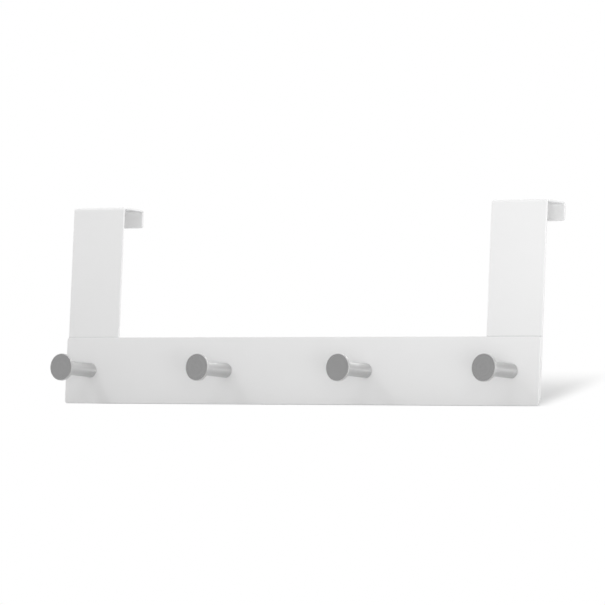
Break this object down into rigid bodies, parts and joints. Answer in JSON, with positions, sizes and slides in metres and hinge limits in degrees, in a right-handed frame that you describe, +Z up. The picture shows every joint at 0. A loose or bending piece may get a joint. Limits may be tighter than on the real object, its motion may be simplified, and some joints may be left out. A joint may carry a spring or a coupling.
{
  "type": "over door hook rack",
  "caption": "White steel bar with turned pegs on its front, hung over a door's top edge by two bent straps, for coats, towels and bags.",
  "frame": {"origin": "midway between the straps, on the edge where the door's front face meets its top", "axes": "+X along the bar to the right as seen from the front, +Y towards the back of the door, +Z up"},
  "size_m": [0.4, 0.0605, 0.14],
  "materials": {
    "white_coat": "white powder coat on steel sheet, satin",
    "peg_steel": "turned and brushed stainless steel",
    "screw_steel": "bright zinc on steel"
  },
  "bodies": {
    "root": {"front_bar": "white_coat", "left_strap": "white_coat", "right_strap": "white_coat", "peg_1": "peg_steel", "peg_2": "peg_steel", "peg_3": "peg_steel", "peg_4": "peg_steel", "peg_screws": "screw_steel"}
  },
  "joints": []
}
